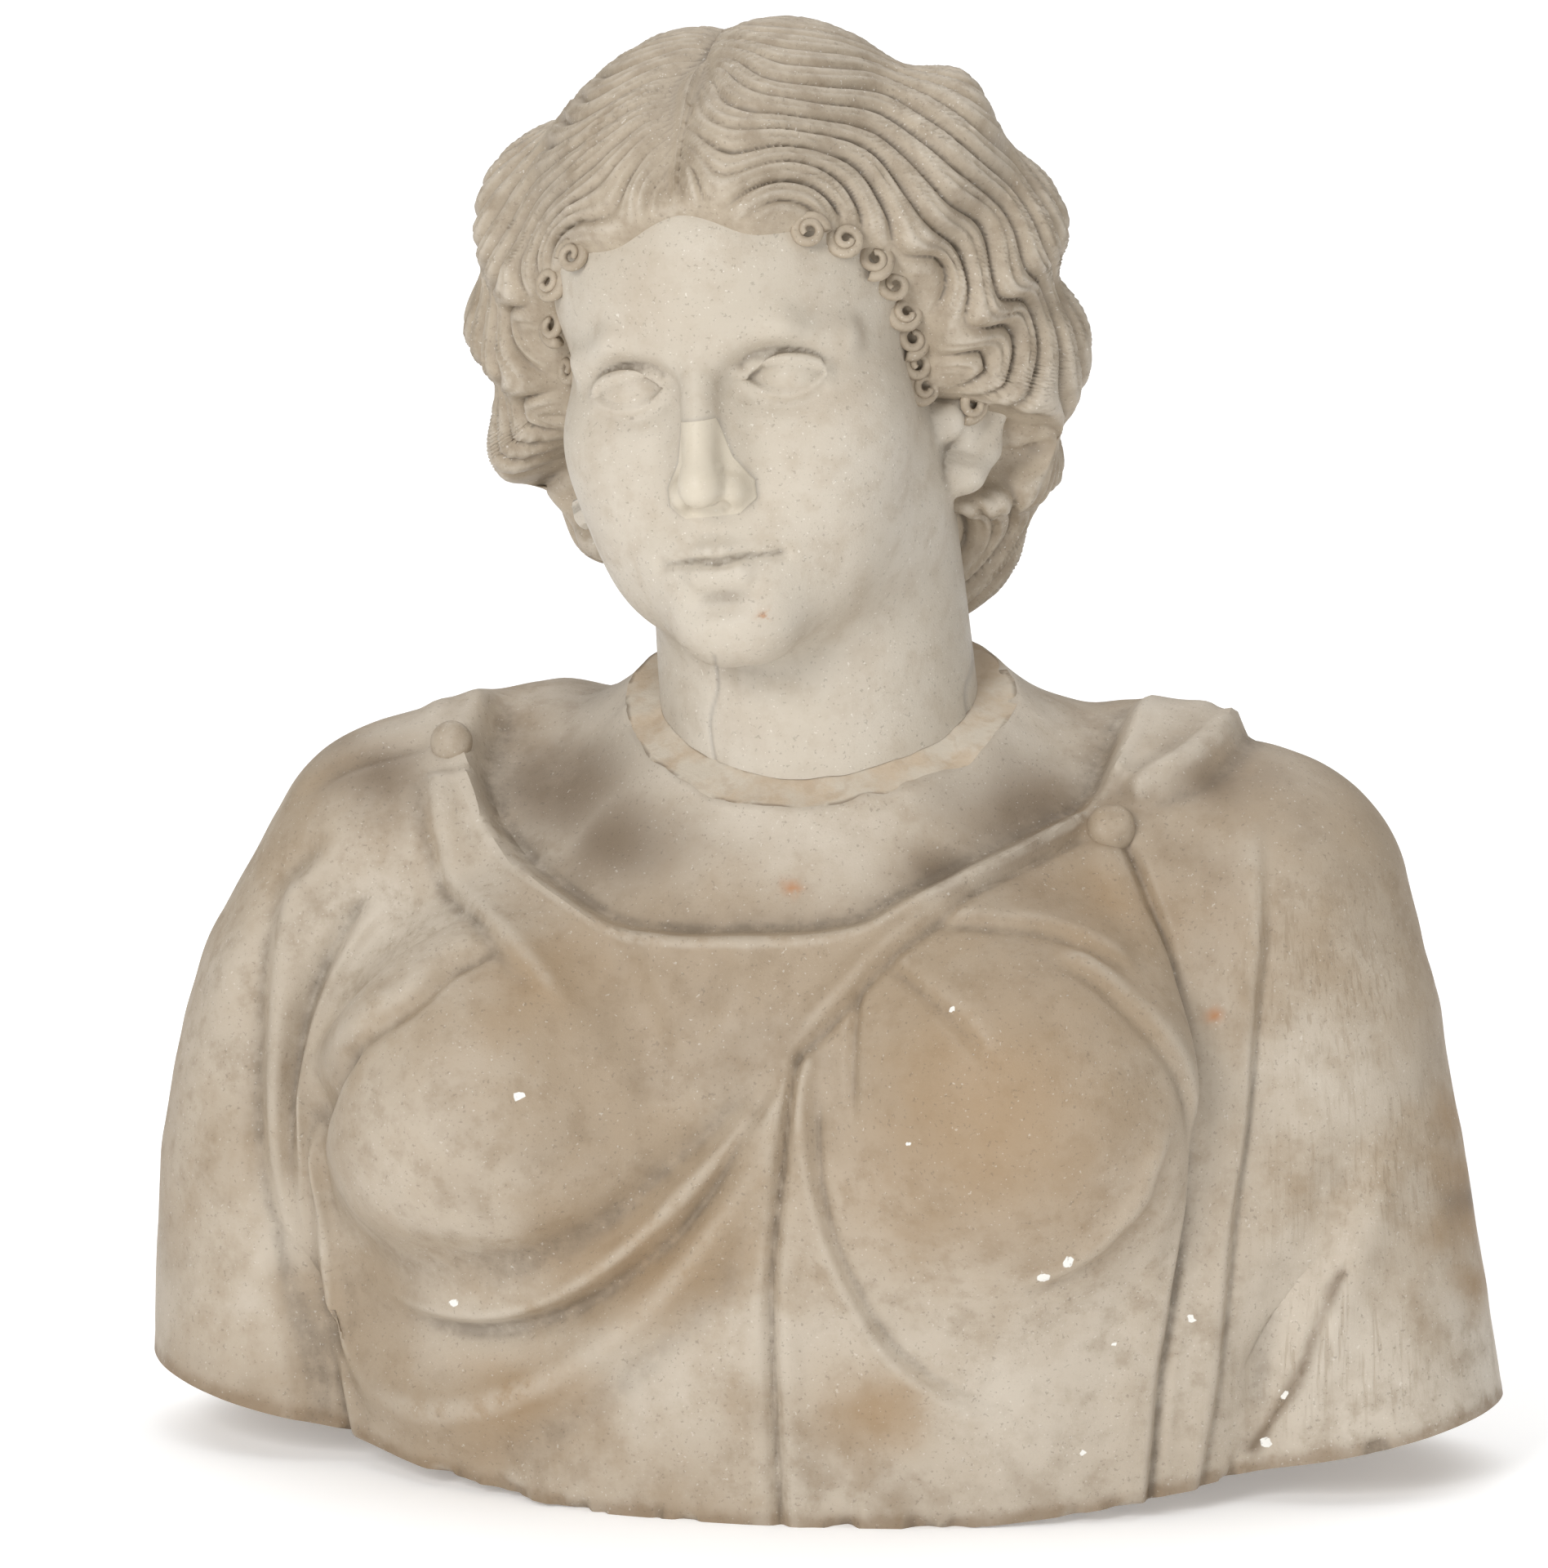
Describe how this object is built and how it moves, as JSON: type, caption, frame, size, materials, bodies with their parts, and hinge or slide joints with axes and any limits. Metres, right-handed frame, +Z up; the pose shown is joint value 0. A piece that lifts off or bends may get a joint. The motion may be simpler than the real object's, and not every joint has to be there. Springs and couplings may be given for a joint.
{
  "type": "marble bust",
  "caption": "Life-size marble bust of a draped woman with parted waved hair, cut off through the upper arms and standing on its flat underside; mortared neck joint and repaired nose tip.",
  "frame": {"origin": "middle of the flat underside", "axes": "+Z up, -Y out of the chest, +X towards the left shoulder of the figure"},
  "size_m": [0.532, 0.2698, 0.5691],
  "materials": {
    "stained_marble": "matt, stained",
    "pale_marble": "worn, fine-grained",
    "new_marble": "smooth",
    "mortar": "rough"
  },
  "bodies": {
    "root": {"bust": "stained_marble", "neck_mortar": "mortar", "head": "pale_marble", "nose_repair": "new_marble"}
  },
  "joints": []
}
